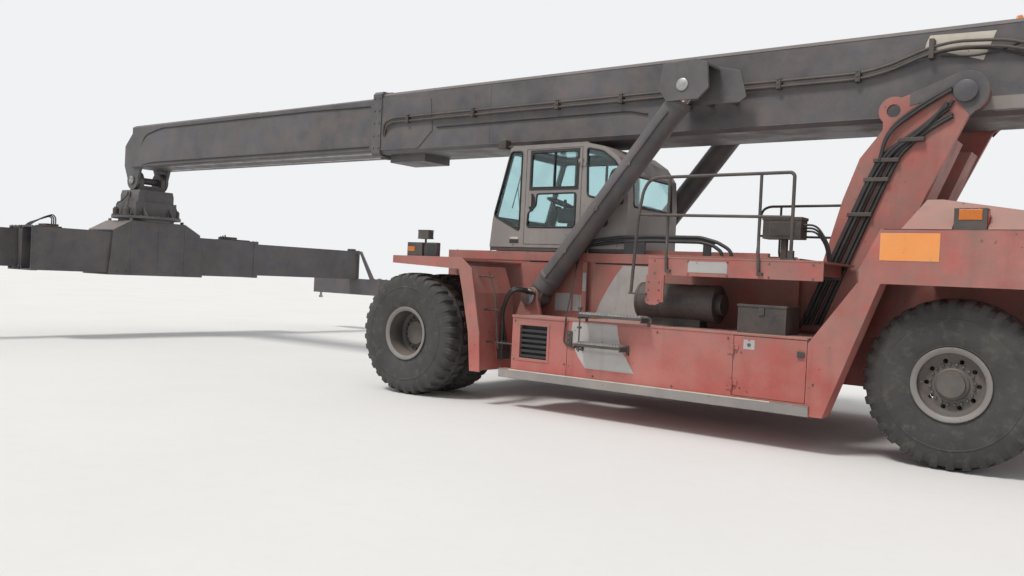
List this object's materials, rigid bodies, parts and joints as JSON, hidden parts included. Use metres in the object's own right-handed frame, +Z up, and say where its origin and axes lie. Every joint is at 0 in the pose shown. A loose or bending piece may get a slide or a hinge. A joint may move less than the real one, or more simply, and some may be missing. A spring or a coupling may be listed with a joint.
{
  "type": "reach stacker",
  "caption": "Wheeled yard machine with a telescopic boom on two lift cylinders, a raised cab, a rear counterweight and a wide container spreader at its head.",
  "frame": {"origin": "on the ground, under the middle of the machine's length and width", "axes": "+X forward along the boom, +Y to the machine's left, +Z up"},
  "size_m": [19.13, 12.384, 4.5399],
  "materials": {
    "red_paint": "dusty, faded red paint",
    "slate_paint": "dark grey paint",
    "cab_paint": "mid grey paint",
    "black_paint": "black paint",
    "bare_steel": "worn steel",
    "rim_paint": "dusty grey paint",
    "tyre_rubber": "dusty black rubber",
    "hose_rubber": "black rubber",
    "tinted_glass": "green tinted glass",
    "lamp_plastic": "orange and black lamp bodies",
    "trim_plastic": "black plastic and vinyl"
  },
  "bodies": {
    "chassis": {"chassis_frame": "red_paint", "boom_tower": "red_paint", "counterweight": "red_paint", "side_boxes": "red_paint", "mudguards": "red_paint", "deck": "red_paint", "railings": "black_paint", "steps": "black_paint", "engine": "slate_paint", "driveline": "slate_paint", "front_axle": "slate_paint", "steer_axle": "slate_paint", "service_units": "black_paint", "lamps": "lamp_plastic", "hoses": "hose_rubber"},
    "cab": {"cab_shell": "cab_paint", "cab_glass": "tinted_glass", "cab_interior": "trim_plastic"},
    "cab_door_left": {"door_left": "cab_paint", "door_left_glass": "tinted_glass"},
    "cab_door_right": {"door_right": "cab_paint", "door_right_glass": "tinted_glass"},
    "locker_left": {"locker_door_left": "red_paint"},
    "locker_right": {"locker_door_right": "red_paint"},
    "hood": {"engine_hood": "red_paint"},
    "boom": {"boom_outer": "slate_paint", "boom_pipes": "black_paint"},
    "inner_boom": {"boom_inner": "slate_paint"},
    "barrel_left": {"lift_barrel_left": "slate_paint"},
    "barrel_right": {"lift_barrel_right": "slate_paint"},
    "rod_left": {"lift_rod_left": "bare_steel"},
    "rod_right": {"lift_rod_right": "bare_steel"},
    "head": {"hanger": "slate_paint"},
    "turntable": {"carriage": "slate_paint"},
    "spreader": {"spreader_frame": "slate_paint"},
    "end_left": {"arm_left": "slate_paint"},
    "end_right": {"arm_right": "slate_paint"},
    "lock_left_front": {"twistlock_left_front": "bare_steel"},
    "lock_left_rear": {"twistlock_left_rear": "bare_steel"},
    "lock_right_front": {"twistlock_right_front": "bare_steel"},
    "lock_right_rear": {"twistlock_right_rear": "bare_steel"},
    "wheel_front_left": {"front_tyres_left": "tyre_rubber", "front_rims_left": "rim_paint"},
    "wheel_front_right": {"front_tyres_right": "tyre_rubber", "front_rims_right": "rim_paint"},
    "knuckle_left": {"knuckle_left": "slate_paint"},
    "knuckle_right": {"knuckle_right": "slate_paint"},
    "wheel_rear_left": {"rear_tyre_left": "tyre_rubber", "rear_rim_left": "rim_paint"},
    "wheel_rear_right": {"rear_tyre_right": "tyre_rubber", "rear_rim_right": "rim_paint"},
    "steering_rod": {"steer_rod": "bare_steel"}
  },
  "joints": [
    {"name": "boom_lift", "type": "hinge", "parent": "chassis", "child": "boom", "pos_m": [-7.795, 0, 3.72], "axis": [0, -1, 0], "range_deg": [0, 57]},
    {"name": "boom_retract", "type": "slide", "parent": "boom", "child": "inner_boom", "axis": [-1, 0, 0], "range_m": [0, 6.5]},
    {"name": "barrel_swing_left", "type": "hinge", "parent": "chassis", "child": "barrel_left", "pos_m": [-2.755, 0.92, 1.37], "axis": [0, -1, 0], "range_deg": [-2.39, 0]},
    {"name": "rod_slide_left", "type": "slide", "parent": "barrel_left", "child": "rod_left", "axis": [-0.624, 0, 0.7815], "range_m": [0, 2.82948]},
    {"name": "barrel_swing_right", "type": "hinge", "parent": "chassis", "child": "barrel_right", "pos_m": [-2.755, -0.92, 1.37], "axis": [0, -1, 0], "range_deg": [-2.39, 0]},
    {"name": "rod_slide_right", "type": "slide", "parent": "barrel_right", "child": "rod_right", "axis": [-0.624, 0, 0.7815], "range_m": [0, 2.82948]},
    {"name": "head_tilt", "type": "hinge", "parent": "inner_boom", "child": "head", "pos_m": [8.285, 0, 3.305], "axis": [0, -1, 0], "range_deg": [-57, 0]},
    {"name": "spreader_turn", "type": "hinge", "parent": "head", "child": "turntable", "pos_m": [8.285, 0, 2.48], "axis": [0, 0, 1], "range_deg": [-95, 185]},
    {"name": "side_shift", "type": "slide", "parent": "turntable", "child": "spreader", "axis": [0, 1, 0], "range_m": [-0.8, 0.8]},
    {"name": "arm_slide_left", "type": "slide", "parent": "spreader", "child": "end_left", "axis": [0, -1, 0], "range_m": [0, 3.066]},
    {"name": "arm_slide_right", "type": "slide", "parent": "spreader", "child": "end_right", "axis": [0, 1, 0], "range_m": [0, 3.066]},
    {"name": "lock_turn_left_front", "type": "hinge", "parent": "end_left", "child": "lock_left_front", "pos_m": [9.415, 5.992, 0.96], "axis": [0, 0, 1], "range_deg": [0, 90]},
    {"name": "lock_turn_left_rear", "type": "hinge", "parent": "end_left", "child": "lock_left_rear", "pos_m": [7.155, 5.992, 0.96], "axis": [0, 0, 1], "range_deg": [0, 90]},
    {"name": "lock_turn_right_front", "type": "hinge", "parent": "end_right", "child": "lock_right_front", "pos_m": [9.415, -5.992, 0.96], "axis": [0, 0, 1], "range_deg": [0, 90]},
    {"name": "lock_turn_right_rear", "type": "hinge", "parent": "end_right", "child": "lock_right_rear", "pos_m": [7.155, -5.992, 0.96], "axis": [0, 0, 1], "range_deg": [0, 90]},
    {"name": "cab_slide", "type": "slide", "parent": "chassis", "child": "cab", "axis": [1, 0, 0], "range_m": [-1.5, 0]},
    {"name": "cab_door_left", "type": "hinge", "parent": "cab", "child": "cab_door_left", "pos_m": [-3.235, 0.716, 2.7], "axis": [0, 0, 1], "range_deg": [0, 50]},
    {"name": "locker_door_left", "type": "hinge", "parent": "chassis", "child": "locker_left", "pos_m": [-5.925, 1.866, 0.8], "axis": [0, 0, -1], "range_deg": [0, 110]},
    {"name": "cab_door_right", "type": "hinge", "parent": "cab", "child": "cab_door_right", "pos_m": [-3.235, -0.716, 2.7], "axis": [0, 0, -1], "range_deg": [0, 50]},
    {"name": "locker_door_right", "type": "hinge", "parent": "chassis", "child": "locker_right", "pos_m": [-5.925, -1.866, 0.8], "axis": [0, 0, 1], "range_deg": [0, 110]},
    {"name": "hood_lift", "type": "hinge", "parent": "chassis", "child": "hood", "pos_m": [-5.895, 0, 1.996], "axis": [0, -1, 0], "range_deg": [0, 70]},
    {"name": "front_wheel_left", "type": "hinge", "parent": "chassis", "child": "wheel_front_left", "pos_m": [-1.445, 1.5, 0.809], "axis": [0, 1, 0], "continuous": true},
    {"name": "front_wheel_right", "type": "hinge", "parent": "chassis", "child": "wheel_front_right", "pos_m": [-1.445, -1.5, 0.809], "axis": [0, 1, 0], "continuous": true},
    {"name": "steer_left", "type": "hinge", "parent": "chassis", "child": "knuckle_left", "pos_m": [-7.945, 0.95, 0.809], "axis": [0, 0, 1], "range_deg": [-50, 50]},
    {"name": "rear_wheel_left", "type": "hinge", "parent": "knuckle_left", "child": "wheel_rear_left", "pos_m": [-7.945, 1.35, 0.809], "axis": [0, 1, 0], "continuous": true},
    {"name": "steer_right", "type": "hinge", "parent": "chassis", "child": "knuckle_right", "pos_m": [-7.945, -0.95, 0.809], "axis": [0, 0, 1], "range_deg": [-50, 50]},
    {"name": "rear_wheel_right", "type": "hinge", "parent": "knuckle_right", "child": "wheel_rear_right", "pos_m": [-7.945, -1.35, 0.809], "axis": [0, 1, 0], "continuous": true},
    {"name": "steering_slide", "type": "slide", "parent": "chassis", "child": "steering_rod", "axis": [0, 1, 0], "range_m": [-0.2538, 0.2538]}
  ],
  "couplings": [
    {"joint": "barrel_swing_left", "follows": "boom_lift", "ratio": -0.041785},
    {"joint": "rod_slide_left", "follows": "boom_lift", "m_per_rad": 2.8437},
    {"joint": "barrel_swing_right", "follows": "boom_lift", "ratio": -0.041785},
    {"joint": "rod_slide_right", "follows": "boom_lift", "m_per_rad": 2.8437},
    {"joint": "head_tilt", "follows": "boom_lift", "ratio": -1},
    {"joint": "arm_slide_right", "follows": "arm_slide_left", "ratio": 1},
    {"joint": "lock_turn_left_rear", "follows": "lock_turn_left_front", "ratio": 1},
    {"joint": "lock_turn_right_front", "follows": "lock_turn_left_front", "ratio": 1},
    {"joint": "lock_turn_right_rear", "follows": "lock_turn_left_front", "ratio": 1},
    {"joint": "steer_right", "follows": "steer_left", "ratio": 1},
    {"joint": "steering_slide", "follows": "steer_left", "m_per_rad": -0.28968}
  ]
}
